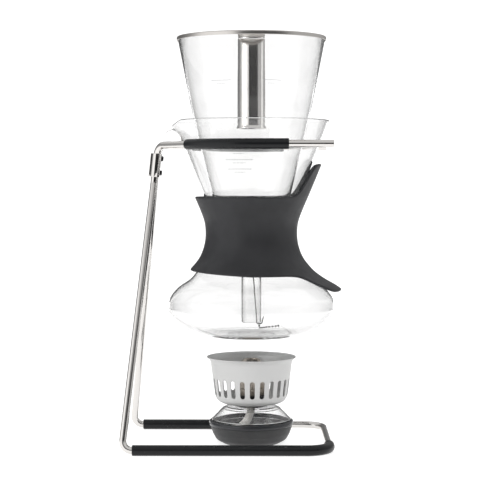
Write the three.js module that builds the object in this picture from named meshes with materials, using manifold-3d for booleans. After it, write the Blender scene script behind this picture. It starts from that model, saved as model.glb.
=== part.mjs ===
// Table-top vacuum coffee brewer: a bent-rod stand with an open fork and an open base loop, a footed
// decanter-shaped lower bowl in a flared grip band, a funnel-shaped upper bowl with its filter, a steel
// lid whose tube doubles as the upper bowl's stand, and a spirit lamp under a slotted windshield.
// Millimetres. +Z is up, the origin is on the table under the glass bowls' common axis, +X points to
// the fork's open end, and the pouring lip is on the -X side.
import * as THREE from "three";
import { mergeVertices } from "three/addons/utils/BufferGeometryUtils.js";
import Module from "manifold-3d";

const { Manifold, Mesh: SolidMesh } = await startManifold();

// Driving dimensions.
const GAP = 0.35; // clearance between neighbouring pieces
const ROD_RADIUS = 4;
const SLEEVE_RADIUS = 5.8; // half the distance across a sleeve's flats
const RAIL_Y = 86; // base rails, either side of the axis
const RAIL_Z = SLEEVE_RADIUS; // the sleeves rest on the table
const CROSS_BAR_X = 85;
const BASE_CORNER_RADIUS = 26;
const ARM_Y = 83.8; // fork arms, either side of the axis
const ARM_Z = 334.3;
const ARM_END_X = 88;
const COLLAR_ROD_Y = ROD_RADIUS + 0.4; // the two uprights side by side in the collar
const COLLAR_LOW_Z = 299;
const COLLAR_HIGH_Z = 325;
const COLLAR_X = -106.8; // at the middle of the collar
const LEAN = 0.1057; // uprights: run in X for each millimetre of height
const GLASS = 2.2; // lower bowl's wall
const BOWL_SIDES = 36; // facets round the lower bowl and its band
const RIM_Z = 362; // lower bowl's rim
const RIM_RADIUS = 87.4;
const SPOUT_HALF_ANGLE = THREE.MathUtils.degToRad(30);
const SPOUT_START_Z = 340;
const SPOUT_REACH = 9;
const SPOUT_DROP = 14.4;
const STEM_RADIUS = 11.2;
const STEM_END_Z = 134.4;
const BOWL_TOP_Z = 453;
const BOWL_TOP_RADIUS = 82.3;
const LID_TOP_Z = 455;
const LID_RADIUS = 83.5;
const TUBE_RADIUS = 15.5;
const TUBE_END_Z = 353.2;
const BAND = 2.6; // grip band's thickness
const SLOTS = 24; // round the windshield
const WICK_RADIUS = 4.5;

// Colours and finishes.
const FINISHES = {
  polished_steel: { color: 0xc9c8c6, roughness: 0.16, metalness: 1 },
  brushed_steel: { color: 0xb9b5b0, roughness: 0.3, metalness: 1 },
  black_rubber: { color: 0x1b1c1e, roughness: 0.55, metalness: 0 },
  grip_silicone: { color: 0x333438, roughness: 0.62, metalness: 0 },
  clear_glass: { color: 0xf4f7f7, roughness: 0.02, metalness: 0, transparent: true, opacity: 0.3 },
  satin_aluminium: { color: 0xcfcfce, roughness: 0.42, metalness: 1 },
  dark_base: { color: 0x424344, roughness: 0.5, metalness: 0 },
  dark_collar: { color: 0x252527, roughness: 0.4, metalness: 0 },
  gasket_rubber: { color: 0x2a2a2c, roughness: 0.6, metalness: 0 },
  filter_cotton: { color: 0xe6ddcc, roughness: 0.95, metalness: 0 },
  wick_cotton: { color: 0xd9d6cf, roughness: 0.95, metalness: 0 },
  black_screw: { color: 0x202022, roughness: 0.45, metalness: 0.6 },
};

const brewer = new THREE.Group();

function addMesh(parent, name, geometry, finish) {
  const mesh = new THREE.Mesh(geometry, new THREE.MeshStandardMaterial(FINISHES[finish]));
  mesh.name = name;
  parent.add(mesh);
  return mesh;
}

async function startManifold() {
  const wasm = await Module();
  wasm.setup();
  return wasm;
}

// The same surface with only positions, and each corner held once.
function bare(geometry) {
  const copy = geometry.clone();
  copy.deleteAttribute("normal");
  copy.deleteAttribute("uv");
  return mergeVertices(copy, 1e-4);
}

function solidFrom(geometry) {
  const merged = bare(geometry);
  return new Manifold(
    new SolidMesh({
      numProp: 3,
      vertProperties: merged.attributes.position.array,
      triVerts: new Uint32Array(merged.index.array),
    }),
  );
}

function geometryFrom(solid) {
  const { vertProperties, triVerts } = solid.getMesh();
  return new THREE.BufferGeometry()
    .setAttribute("position", new THREE.BufferAttribute(vertProperties, 3))
    .setIndex(new THREE.BufferAttribute(triVerts, 1));
}

// A solid turned about +Z. Its outline runs anticlockwise, as [radius, height] corners, and either
// starts and ends on the axis or closes on itself.
function turned(outline, sides = 32) {
  const profile = outline.map(([radius, height]) => new THREE.Vector2(radius, height));
  if (outline[0][0] > 0) profile.push(profile[0].clone());
  return new THREE.LatheGeometry(profile, sides).rotateX(Math.PI / 2);
}

// Evenly spaced [radius, height] points on a smooth curve through the given ones.
function smooth(points, steps) {
  const curve = new THREE.SplineCurve(points.map(([r, z]) => new THREE.Vector2(r, z)));
  return curve.getSpacedPoints(steps).map((p) => [p.x, p.y]);
}

// A line of [radius, height] points moved to its left by a distance. Points on the axis stay there.
function offset(points, distance) {
  return points.map(([r, z], i) => {
    const [r0, z0] = points[Math.max(i - 1, 0)];
    const [r1, z1] = points[Math.min(i + 1, points.length - 1)];
    const length = Math.hypot(r1 - r0, z1 - z0);
    if (r === 0) return [0, z + distance];
    return [r - ((z1 - z0) / length) * distance, z + ((r1 - r0) / length) * distance];
  });
}

// The closed outline of a wall whose outer face is the given line.
function walled(outer, thickness) {
  return [...outer, ...offset(outer, thickness).reverse()];
}

// A path with stations only where it bends, so that straight runs stay single faces.
class StationPath extends THREE.Curve {
  constructor(stations) {
    super();
    this.stations = stations;
  }
  index(share) {
    return Math.round(share * (this.stations.length - 1));
  }
  getPointAt(share) {
    return this.stations[this.index(share)].clone();
  }
  getTangentAt(share) {
    const i = this.index(share);
    const runs = [this.run(i - 1), this.run(i)].filter((run) => run !== null);
    return runs.reduce((sum, run) => sum.add(run), new THREE.Vector3()).normalize();
  }
  run(i) {
    if (i < 0 || i > this.stations.length - 2) return null;
    return this.stations[i + 1].clone().sub(this.stations[i]).normalize();
  }
}

// Stations along straight runs between corners, each corner rounded to its own radius.
function bentStations(corners, bendSteps = 5) {
  const stations = [];
  corners.forEach(({ at, radius }, i) => {
    if (!radius) {
      stations.push(at.clone());
      return;
    }
    const back = corners[i - 1].at.clone().sub(at).normalize();
    const ahead = corners[i + 1].at.clone().sub(at).normalize();
    const half = back.angleTo(ahead) / 2;
    const towardCentre = back.clone().add(ahead).normalize();
    const centre = at.clone().addScaledVector(towardCentre, radius / Math.sin(half));
    const start = at.clone().addScaledVector(back, radius / Math.tan(half)).sub(centre);
    const axis = back.clone().negate().cross(ahead).normalize();
    const turn = Math.PI - 2 * half;
    for (let step = 0; step <= bendSteps; step++) {
      const arm = start.clone().applyAxisAngle(axis, (turn * step) / bendSteps);
      stations.push(centre.clone().add(arm));
    }
  });
  return stations;
}

// A round bar or, with a bore, a tube along stations. Its section has a flat on top and below.
function along(stations, radius, { bore = 0, sides = 10 } = {}) {
  const toCorner = 1 / Math.cos(Math.PI / sides);
  const section = new THREE.Shape(ringOfCorners(radius * toCorner, sides));
  if (bore) section.holes.push(new THREE.Path(ringOfCorners(bore * toCorner, sides)));
  const steps = stations.length - 1;
  return new THREE.ExtrudeGeometry(section, { steps, extrudePath: new StationPath(stations) });
}

function ringOfCorners(radius, sides) {
  return Array.from({ length: sides }, (_, i) => {
    const angle = ((i + 0.5) / sides) * 2 * Math.PI;
    return new THREE.Vector2(radius * Math.cos(angle), radius * Math.sin(angle));
  });
}

const point = (x, y, z) => new THREE.Vector3(x, y, z);
const corner = (at, radius) => ({ at, radius });
const uprightX = (z) => COLLAR_X + LEAN * (z - (COLLAR_LOW_Z + COLLAR_HIGH_Z) / 2);

// --- Stand -----------------------------------------------------------------------------------

function standCorners(side) {
  const collarBelow = COLLAR_LOW_Z - 5;
  const armTangent = Math.acos(ARM_Y / Math.hypot(uprightX(ARM_Z), COLLAR_ROD_Y));
  const collarBearing = Math.atan2(COLLAR_ROD_Y, -uprightX(ARM_Z));
  const arcTurn = Math.PI / 2 - collarBearing - armTangent;
  return {
    armEnd: point(ARM_END_X, side * ARM_Y, ARM_Z),
    armBend: corner(point(-ARM_Y * Math.tan(arcTurn / 2), side * ARM_Y, ARM_Z), ARM_Y),
    collarTop: corner(point(uprightX(ARM_Z), side * COLLAR_ROD_Y, ARM_Z), 12),
    collarFoot: corner(point(uprightX(collarBelow), side * COLLAR_ROD_Y, collarBelow), 25),
    heel: corner(point(uprightX(RAIL_Z), side * RAIL_Y, RAIL_Z), 10),
    baseBend: corner(point(CROSS_BAR_X, side * RAIL_Y, RAIL_Z), BASE_CORNER_RADIUS),
  };
}

function makeStand() {
  const stand = new THREE.Group();
  const front = standCorners(-1);
  const back = standCorners(1);
  const jointX = 40; // the two rods meet inside the front base sleeve
  const railPoint = (x, side) => point(x, side * RAIL_Y, RAIL_Z);

  const frontRod = [
    corner(front.armEnd), front.armBend, front.collarTop, front.collarFoot, front.heel,
    corner(railPoint(jointX - GAP, -1)),
  ];
  addMesh(stand, "stand_rod_front", along(bentStations(frontRod), ROD_RADIUS), "polished_steel");

  const backRod = [
    corner(back.armEnd), back.armBend, back.collarTop, back.collarFoot, back.heel,
    back.baseBend, front.baseBend, corner(railPoint(jointX, -1)),
  ];
  addMesh(stand, "stand_rod_back", along(bentStations(backRod), ROD_RADIUS), "polished_steel");

  const sleeveStartX = -128;
  const backSleeveEndX = 30;
  const forkSleeveEndX = 40;
  const shareFromCollar = 0.535; // where a fork sleeve starts on the straight run from the collar
  const sleeve = (name, corners) => {
    const tube = along(bentStations(corners), SLEEVE_RADIUS, { bore: ROD_RADIUS + GAP });
    addMesh(stand, name, tube, "black_rubber");
  };
  const crossBarEnd = point(CROSS_BAR_X, -52, RAIL_Z);
  sleeve("base_sleeve_front", [
    corner(railPoint(sleeveStartX, -1)), front.baseBend, corner(crossBarEnd),
  ]);
  sleeve("base_sleeve_back", [corner(railPoint(sleeveStartX, 1)), corner(railPoint(backSleeveEndX, 1))]);

  for (const [side, name] of [[-1, "fork_sleeve_front"], [1, "fork_sleeve_back"]]) {
    const { armBend, collarTop } = standCorners(side);
    const start = collarTop.at.clone().lerp(armBend.at, shareFromCollar);
    const end = point(forkSleeveEndX, side * ARM_Y, ARM_Z);
    sleeve(name, [corner(start), armBend, corner(end)]);
  }

  makeCollar(stand);
  return stand;
}

// A sheet collar round both uprights, with two screws in its wall on the +X side.
function makeCollar(stand) {
  const collar = new THREE.Group();
  const middleZ = (COLLAR_LOW_Z + COLLAR_HIGH_Z) / 2;
  collar.position.set(COLLAR_X, 0, middleZ);
  collar.rotation.y = Math.atan(LEAN);
  const height = COLLAR_HIGH_Z - COLLAR_LOW_Z;
  const sheet = 1.6;
  const clearRadius = ROD_RADIUS + 2 * GAP;

  const outer = stadium(clearRadius + sheet, COLLAR_ROD_Y);
  outer.holes.push(stadium(clearRadius, COLLAR_ROD_Y));
  const band = new THREE.ExtrudeGeometry(outer, { depth: height, bevelEnabled: false, curveSegments: 6 });
  let solid = solidFrom(band);

  const screwX = clearRadius;
  const shankRadius = 1.4;
  const headRadius = 2.9;
  for (const [name, z] of [["collar_screw_upper", height - 5], ["collar_screw_lower", 5]]) {
    const hole = turned([[0, 0], [shankRadius + GAP, 0], [shankRadius + GAP, 4], [0, 4]], 12);
    hole.rotateY(Math.PI / 2).translate(screwX - 1, 0, z);
    solid = solid.subtract(solidFrom(hole));
    const screwOutline = [
      [0, 0], [shankRadius, 0], [shankRadius, sheet], [headRadius, sheet],
      [headRadius, sheet + 1.2], [headRadius - 0.8, sheet + 1.9], [0, sheet + 1.9],
    ];
    const screw = turned(screwOutline, 14).rotateY(Math.PI / 2).translate(screwX + GAP, 0, z - height / 2);
    addMesh(collar, name, screw, "black_screw");
  }
  addMesh(collar, "collar_clamp", geometryFrom(solid).translate(0, 0, -height / 2), "polished_steel");
  stand.add(collar);
}

// A slot-shaped outline, long in Y, whose round ends are centred at plus and minus halfLength.
function stadium(radius, halfLength) {
  const outline = new THREE.Shape();
  outline.absarc(0, halfLength, radius, 0, Math.PI, false);
  outline.absarc(0, -halfLength, radius, Math.PI, 2 * Math.PI, false);
  outline.closePath();
  return outline;
}

// --- Lower bowl and its grip band --------------------------------------------------------------

const BULB = [
  [44, 121.2], [56, 121.8], [69, 126], [82, 134.3], [91.3, 144.8], [93.7, 153.5], [91.3, 164],
  [82, 175.2], [68.6, 184.6], [60.3, 195], [53, 208], [48.5, 222], [47.3, 236], [48.5, 250],
  [53.2, 277], [63.9, 303], [74.4, 329], [79.4, 341], [RIM_RADIUS, RIM_Z],
];

// How far a rim point turns outwards and down into the pouring lip, from 0 to 1.
function spoutShare(x, y) {
  const fromLip = Math.abs(Math.atan2(y, -x));
  if (fromLip > SPOUT_HALF_ANGLE) return 0;
  return Math.cos(((fromLip / SPOUT_HALF_ANGLE) * Math.PI) / 2) ** 2;
}

function makeLowerBowl() {
  const bowl = new THREE.Group();
  const outer = [[0, 122.6], ...smooth(BULB, 17)];
  const glass = turned(walled(outer, GLASS), BOWL_SIDES);
  const position = glass.getAttribute("position");
  for (let i = 0; i < position.count; i++) {
    const [x, y, z] = [position.getX(i), position.getY(i), position.getZ(i)];
    const rise = Math.max(0, (z - SPOUT_START_Z) / (RIM_Z - SPOUT_START_Z));
    const share = spoutShare(x, y);
    const stretch = 1 + (SPOUT_REACH * share * rise ** 2.4) / Math.hypot(x, y);
    position.setXYZ(i, x * stretch, y * stretch, z - SPOUT_DROP * share * rise ** 3);
  }
  addMesh(bowl, "lower_bowl", glass, "clear_glass");
  addMesh(bowl, "grip_band", gripBand(), "grip_silicone");
  return bowl;
}

// The band is one flared sheet whose outer face follows a single curve from the lower flap's tip, up
// round the waist and out to the upper flap's tip. Away from the +X side it is trimmed to a cuff.
function gripBand() {
  const curve = new THREE.SplineCurve(
    [
      [101.4, 173.6], [94, 178.6], [84, 184.2], [74, 191], [66.9, 197.6], [58.2, 208.8], [53.1, 221.8],
      [51.4, 235], [52.6, 248.5], [57.3, 262], [63.4, 276.3], [69, 289.5], [78.6, 313],
    ].map(([r, z]) => new THREE.Vector2(r, z)),
  );
  const rows = 8;
  const geometry = turned(Array.from({ length: 2 * rows + 2 }, (_, i) => [1, i]), BOWL_SIDES);
  const position = geometry.getAttribute("position");
  for (let i = 0; i < position.count; i++) {
    const angle = Math.atan2(position.getY(i), position.getX(i));
    const row = Math.round(position.getZ(i)) % (2 * rows + 2);
    const inside = row > rows;
    const share = (inside ? 2 * rows + 1 - row : row) / rows;
    const { low, high } = bandEnds(angle);
    const at = low + (high - low) * share;
    const outerPoint = curve.getPointAt(at);
    const run = curve.getTangentAt(at);
    const depth = inside ? BAND : 0;
    const radius = outerPoint.x - run.y * depth;
    position.setXYZ(i, radius * Math.cos(angle), radius * Math.sin(angle), outerPoint.y + run.x * depth);
  }
  return geometry;
}

// The shares of the band's curve at which it ends, below and above, at an angle from +X. The cuff's
// lower edge rises a little behind, and each flap is a tongue with its own half width.
function bandEnds(angle) {
  const tongue = (halfWidth) => 1 / (1 + (THREE.MathUtils.radToDeg(Math.abs(angle)) / halfWidth) ** 9);
  const cuffLow = 0.205 + 0.03 * Math.max(0, -Math.cos(angle));
  const cuffHigh = 0.763;
  return {
    low: cuffLow * (1 - tongue(34)),
    high: cuffHigh + (1 - cuffHigh) * tongue(29.5),
  };
}

// --- Upper bowl, its gasket and its filter -------------------------------------------------------

function makeUpperBowl() {
  const bowl = new THREE.Group();
  const funnel = [
    [STEM_RADIUS, STEM_END_Z], [STEM_RADIUS, 243], [12.6, 246], [17, 248.6], [34, 256.2],
    [38.6, 259.4], [41.2, 264], [43.8, 278], [56.4, 329], [67, 374.5], [BOWL_TOP_RADIUS, BOWL_TOP_Z],
  ];
  addMesh(bowl, "upper_bowl", turned(walled(funnel, 1.8)), "clear_glass");

  const gasket = [
    [17.6, 243.4], [42.6, 243.4], [45, 246], [45, 262.5], [41.3, 262.5], [38.9, 258.4],
    [34.2, 255.3], [17.6, 247.9],
  ];
  addMesh(bowl, "bowl_gasket", turned(gasket, 28), "gasket_rubber");

  const holeRadius = 2.4;
  const disc = (radius, low, high) => [[holeRadius, low], [radius, low], [radius, high], [holeRadius, high]];
  addMesh(bowl, "filter_plate", turned(disc(27, 256.9, 258.3), 24), "brushed_steel");
  addMesh(bowl, "filter_cloth", turned(disc(28, 258.7, 259.4), 24), "filter_cotton");
  addMesh(bowl, "filter_ring", turned(disc(25.5, 259.8, 261), 24), "brushed_steel");
  const stud = [[0, 247.4], [1.9, 247.4], [1.9, 261.4], [5, 261.4], [5, 263.4], [0, 264]];
  addMesh(bowl, "filter_stud", turned(stud, 12), "brushed_steel");

  const springTop = 247;
  const springLength = 32;
  const springRadius = 2.9;
  const turns = 6;
  const stepsPerTurn = 7;
  const coil = Array.from({ length: turns * stepsPerTurn + 1 }, (_, i) => {
    const angle = (i / stepsPerTurn) * 2 * Math.PI;
    const fall = (i / (turns * stepsPerTurn)) * springLength;
    return point(springRadius * Math.cos(angle), springRadius * Math.sin(angle), springTop - fall);
  });
  addMesh(bowl, "filter_spring", along(coil, 0.45, { sides: 4 }), "brushed_steel");
  bowl.add(makeFilterPull());
  return bowl;
}

// The wire that hangs from the spring and hooks under the stem's lip, and its bead chain.
function makeFilterPull() {
  const pull = new THREE.Group();
  const wireRadius = 0.7;
  const hookLow = STEM_END_Z - wireRadius - 0.6;
  const wire = [
    corner(point(0, 0, 214)), corner(point(5.2, 0, 150)),
    corner(point(6, 0, hookLow), 2.2), corner(point(11.8, 0, hookLow), 2.2), corner(point(14, 0, 141.5)),
  ];
  addMesh(pull, "filter_hook", along(bentStations(wire, 4), wireRadius, { sides: 6 }), "brushed_steel");

  const beadRadius = 1.1;
  const floorZ = 126.1;
  const chain = new THREE.CatmullRomCurve3([
    point(8.9, 0, hookLow - wireRadius - beadRadius - GAP), point(9.3, 1.6, 128.4),
    point(10.6, 4.8, 126.7), point(13, 10, floorZ), point(19, 19, floorZ),
    point(26, 24, floorZ), point(31, 30, floorZ),
  ]);
  const beads = 10;
  const stations = chain.getSpacedPoints(beads * 2);
  let solid = solidFrom(along(stations, 0.4, { sides: 4 }));
  for (let i = 0; i <= beads; i++) {
    const bead = new THREE.SphereGeometry(beadRadius, 6, 4).translate(...stations[i * 2]);
    solid = solid.add(solidFrom(bead));
  }
  addMesh(pull, "bead_chain", geometryFrom(solid), "brushed_steel");
  return pull;
}

// --- Lid -----------------------------------------------------------------------------------------

function makeLid() {
  const lid = new THREE.Group();
  const skirtZ = 450.6;
  const plateZ = BOWL_TOP_Z + 2 * GAP;
  const skirtInner = LID_RADIUS - 0.8;
  const disc = [
    [0, plateZ], [skirtInner, plateZ], [skirtInner, skirtZ], [LID_RADIUS, skirtZ],
    [LID_RADIUS, LID_TOP_Z - 0.8], [LID_RADIUS - 0.8, LID_TOP_Z], [0, LID_TOP_Z],
  ];
  addMesh(lid, "lid_disc", turned(disc), "polished_steel");

  const seamZ = 446.6;
  const boss = [[0, seamZ], [15.1, seamZ], [14.6, plateZ - GAP], [0, plateZ - GAP]];
  addMesh(lid, "lid_boss", turned(boss, 24), "polished_steel");

  const tubeTop = seamZ - GAP;
  const wall = 1;
  const flare = 1.4;
  const tube = [
    [TUBE_RADIUS + flare - wall, TUBE_END_Z], [TUBE_RADIUS + flare, TUBE_END_Z],
    [TUBE_RADIUS, TUBE_END_Z + 3.5], [TUBE_RADIUS, tubeTop], [0, tubeTop], [0, tubeTop - wall],
    [TUBE_RADIUS - wall, tubeTop - wall], [TUBE_RADIUS - wall, TUBE_END_Z + 3.5],
  ];
  addMesh(lid, "lid_tube", closedCup(tube), "polished_steel");
  return lid;
}

// A cup-shaped solid whose outline crosses the axis in two places: its outer and inner lines in turn.
function closedCup(outline) {
  const firstOnAxis = outline.findIndex(([radius]) => radius === 0);
  const outlineFromAxis = [...outline.slice(firstOnAxis + 1), ...outline.slice(0, firstOnAxis + 1)];
  return turned(outlineFromAxis, 28);
}

// --- Spirit lamp ---------------------------------------------------------------------------------

function makeLamp() {
  const lamp = new THREE.Group();
  const base = [
    [0, 0], [31, 0], [35.4, 0.9], [39.8, 4.2], [43.2, 11], [46.3, 20.1], [47.4, 21], [47.6, 23],
    [45.6, 25.7], [44.6, 25.1], [40.8, 11.6], [37, 6.4], [32.3, 3.6], [0, 3.4],
  ];
  addMesh(lamp, "lamp_base", turned(base), "dark_base");

  const wall = 1.9;
  const reservoir = [
    [0, 3.9], [32.1, 4.1], [36.5, 6.9], [40.3, 12], [44, 24.6], [45.2, 26.6], [32.6, 39.8],
    [28.6, 41.2], [15.4, 41.2], [13.6, 42.4], [13.6, 50.6],
  ];
  addMesh(lamp, "lamp_glass", turned(walled(reservoir, wall)), "clear_glass");

  const wickHole = WICK_RADIUS + 0.6;
  const ledgeZ = 44.2;
  const collar = [
    [16.2, 41.7], [18.6, 41.7], [18.6, ledgeZ], [16, ledgeZ], [16, 53.6], [wickHole, 53.6],
    [wickHole, 51], [14, 51], [14, 43.2],
  ];
  addMesh(lamp, "lamp_collar", turned(collar, 24), "dark_collar");

  const capRadius = 15;
  const shoulder = [[capRadius, 54], [capRadius, 82], [14, 87], [11.6, 91.4], [8.6, 94.4], [7.4, 94.4]];
  const burner = [[wickHole, 54], ...shoulder, [7.4, 92.8], [wickHole, 92.8]];
  addMesh(lamp, "wick_holder", turned(burner, 24), "brushed_steel");

  const wickRoute = new THREE.CatmullRomCurve3([
    point(0, 0, 91.8), point(0, 0, 60), point(0, 0, 42), point(-1.6, -0.4, 32), point(-4.4, -1.2, 25.6),
    point(-9.2, -2.8, 20), point(-15.6, -4.8, 15.2), point(-22.8, -7, 12.2),
  ]);
  const wick = along(wickRoute.getSpacedPoints(13), WICK_RADIUS, { sides: 8 });
  addMesh(lamp, "wick", wick, "wick_cotton");
  lamp.add(makeWindshield(ledgeZ + GAP));
  return lamp;
}

// A cup of spun sheet with a flared lip, a hole in its floor for the lamp's collar, and a row of
// upright slots round it.
function makeWindshield(floorZ) {
  const shield = new THREE.Group();
  const sheet = 1;
  const outer = [
    [16.5, floorZ], [29, floorZ], [36, 46.8], [40.2, 52.2], [43.6, 75], [45.7, 91], [47.4, 94.2],
    [50.2, 96.4],
  ];
  const firstSlot = THREE.MathUtils.degToRad(-88.5);
  let solid = solidFrom(turned(walled(outer, sheet), SLOTS).rotateZ(firstSlot + Math.PI / SLOTS));
  const slotLow = 54;
  const slotHigh = 73.7;
  const slotHalfWidth = 2.7;
  const outline = new THREE.Shape();
  outline.absarc(0, slotHigh - slotHalfWidth, slotHalfWidth, 0, Math.PI, false);
  outline.absarc(0, slotLow + slotHalfWidth, slotHalfWidth, Math.PI, 2 * Math.PI, false);
  outline.closePath();
  const cutter = new THREE.ExtrudeGeometry(outline, { depth: 20, bevelEnabled: false, curveSegments: 2 });
  cutter.translate(0, 0, 30).rotateX(Math.PI / 2).rotateZ(Math.PI / 2);
  for (let i = 0; i < SLOTS; i++) {
    const placed = cutter.clone().rotateZ(firstSlot + (i / SLOTS) * 2 * Math.PI + Math.PI);
    solid = solid.subtract(solidFrom(placed));
  }
  addMesh(shield, "windshield", geometryFrom(solid), "satin_aluminium");
  return shield;
}

brewer.add(makeStand(), makeLowerBowl(), makeUpperBowl(), makeLid(), makeLamp());

export default brewer;
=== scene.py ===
import math

import bmesh
import bpy
from mathutils import Matrix, Vector


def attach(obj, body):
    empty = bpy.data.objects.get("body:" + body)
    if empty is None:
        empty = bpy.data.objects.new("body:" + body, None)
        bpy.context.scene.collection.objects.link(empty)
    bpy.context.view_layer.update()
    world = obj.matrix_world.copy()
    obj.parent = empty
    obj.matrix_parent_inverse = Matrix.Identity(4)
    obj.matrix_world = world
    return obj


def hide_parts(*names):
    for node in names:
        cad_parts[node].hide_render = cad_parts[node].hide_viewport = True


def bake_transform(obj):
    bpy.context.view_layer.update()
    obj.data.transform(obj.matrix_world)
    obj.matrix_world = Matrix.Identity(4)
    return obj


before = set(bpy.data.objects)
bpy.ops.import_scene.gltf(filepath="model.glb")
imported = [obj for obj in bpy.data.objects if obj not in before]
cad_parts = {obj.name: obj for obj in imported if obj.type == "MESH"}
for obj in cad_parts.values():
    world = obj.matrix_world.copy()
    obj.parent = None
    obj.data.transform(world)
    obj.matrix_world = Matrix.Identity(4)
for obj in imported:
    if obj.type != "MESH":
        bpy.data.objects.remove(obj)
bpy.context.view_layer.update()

# Table-top vacuum coffee brewer. Shapes are worked out in millimetres, in the CAD frame, and turned
# into metres where a mesh is made.
MM = 0.001

# Driving dimensions, in millimetres. They are the CAD model's, apart from the glass walls.
GAP = 0.35  # between pieces that touch
ROD_RADIUS = 4.0
SLEEVE_RADIUS = 5.8
RAIL_Y = 86.0
RAIL_Z = SLEEVE_RADIUS
CROSS_BAR_X = 85.0
CROSS_BAR_END_Y = -52.0  # where the front sleeve ends on the cross bar
BASE_CORNER_RADIUS = 26.0
ROD_JOINT_X = 40.0  # where the two rods meet inside the front sleeve
BASE_SLEEVE_START_X, BACK_SLEEVE_END_X = -128.0, 30.0
ARM_Y = 83.8
ARM_Z = 334.3
ARM_END_X = 88.0
FORK_SLEEVE_END_X = 40.0
SHARE_FROM_COLLAR = 0.535  # of the straight run to the arm's bend, before the fork's sleeve starts
COLLAR_ROD_Y = ROD_RADIUS + 0.4
COLLAR_LOW_Z, COLLAR_HIGH_Z = 299.0, 325.0
COLLAR_X = -106.8
LEAN = 0.1057  # of the uprights, in X for each millimetre up
COLLAR_BEND, FOOT_BEND, HEEL_BEND = 12.0, 25.0, 10.0
DECANTER_WALL, FUNNEL_WALL = 1.7, 1.4  # thinner than in the CAD model, so they bend the view less
RESERVOIR_WALL = 1.9
RIM_Z, RIM_RADIUS = 362.0, 87.4
SPOUT_HALF_ANGLE = math.radians(30)
SPOUT_START_Z = 340.0
SPOUT_REACH, SPOUT_DROP = 9.0, 14.4
SPOUT_REACH_POWER, SPOUT_DROP_POWER = 2.4, 3
STEM_RADIUS, STEM_END_Z = 11.2, 134.4
NECK_TOP_Z = 270.0
BOWL_TOP_Z, BOWL_TOP_RADIUS = 453.0, 82.3
LID_TOP_Z, LID_RADIUS = 455.0, 83.5
TUBE_RADIUS, TUBE_END_Z = 15.5, 353.2
BAND = 2.6
LEDGE_Z = 44.2  # of the lamp's collar, under the windshield
SLOTS = 24
WICK_RADIUS = 4.4
ROUND = 128  # segments round a large turned piece


# --- Camera, made first ------------------------------------------------------------------------

def make_camera():
    camera = bpy.data.objects.new("camera", bpy.data.cameras.new("camera"))
    bpy.context.scene.collection.objects.link(camera)
    bpy.context.scene.camera = camera
    camera.data.sensor_width = 36.0
    camera.data.lens = 111.63
    down, left = math.radians(2.304), math.radians(0.417)
    camera.location = (-0.0006, -1.6706, 0.29545)
    camera.rotation_euler = (math.pi / 2 - down, 0.0, left)
    camera.data.clip_end = 50.0


make_camera()


# --- Shapes --------------------------------------------------------------------------------------

def vec(x, y, z):
    return Vector((x, y, z))


def steps_of(start, end, steps):
    return [start + (end - start) * i / steps for i in range(steps + 1)]


def spline(points, steps):
    """Catmull-Rom curve through the points, with the given number of steps on each stretch."""
    points = [Vector(p) for p in points]
    last = len(points) - 1
    line = []
    for i in range(last):
        before, start = points[max(i - 1, 0)], points[i]
        end, after = points[i + 1], points[min(i + 2, last)]
        out, into = (end - before) * 0.5, (after - start) * 0.5
        for step in range(steps):
            t = step / steps
            line.append(
                (2 * start - 2 * end + out + into) * t**3
                + (-3 * start + 3 * end - 2 * out - into) * t**2 + out * t + start
            )
    return line + [points[last]]


def rounded(corners, closed=False, steps=5):
    """A flat outline from (a, b) or (a, b, radius) corners, where a radius rounds its corner."""
    line = []
    count = len(corners)
    for i, corner in enumerate(corners):
        here = Vector(corner[:2])
        if len(corner) < 3 or (not closed and i in (0, count - 1)):
            line.append(here)
            continue
        back = (Vector(corners[i - 1][:2]) - here).normalized()
        ahead = (Vector(corners[(i + 1) % count][:2]) - here).normalized()
        half = back.angle(ahead) / 2
        centre = here + (back + ahead).normalized() * corner[2] / math.sin(half)
        start = here + back * corner[2] / math.tan(half) - centre
        turn = math.copysign(math.pi - 2 * half, back.cross(ahead) * -1)
        for step in range(steps + 1):
            line.append(centre + Matrix.Rotation(turn * step / steps, 2) @ start)
    return line


def offset(line, distance):
    """The line of flat points moved to its left."""
    moved = []
    for i, point in enumerate(line):
        run = (line[min(i + 1, len(line) - 1)] - line[max(i - 1, 0)]).normalized()
        moved.append(point + Vector((-run.y, run.x)) * distance)
    return moved


def half_round(start, end, steps=6):
    """Points on the half circle from start to end that bulges to the right of that run."""
    centre, arm = (start + end) / 2, (start - end) / 2
    return [centre + Matrix.Rotation(math.pi * i / steps, 2) @ arm for i in range(1, steps)]


def glass_wall(outer, thickness, open_below=False):
    """The closed outline of a blown wall with fire-polished edges, from its outer line."""
    inner = offset(outer, thickness)
    if outer[0].x == 0:
        inner[0] = Vector((0, outer[0].y + thickness))
    outline = list(outer) + half_round(outer[-1], inner[-1]) + inner[::-1]
    return outline + (half_round(inner[0], outer[0]) if open_below else [])


def turned(outline, segments):
    """Vertices and faces of an outline turned about Z. It closes on itself, or runs axis to axis."""
    verts, faces, rings = [], [], []
    for radius, height in outline:
        if abs(radius) < 1e-9:
            rings.append([len(verts)])
            verts.append(vec(0, 0, height))
            continue
        rings.append(list(range(len(verts), len(verts) + segments)))
        for k in range(segments):
            angle = 2 * math.pi * k / segments
            verts.append(vec(radius * math.cos(angle), radius * math.sin(angle), height))
    pairs = list(zip(rings, rings[1:]))
    if abs(outline[0][0]) > 1e-9:
        pairs.append((rings[-1], rings[0]))
    for low, high in pairs:
        faces += between(low, high)
    return verts, faces


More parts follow.
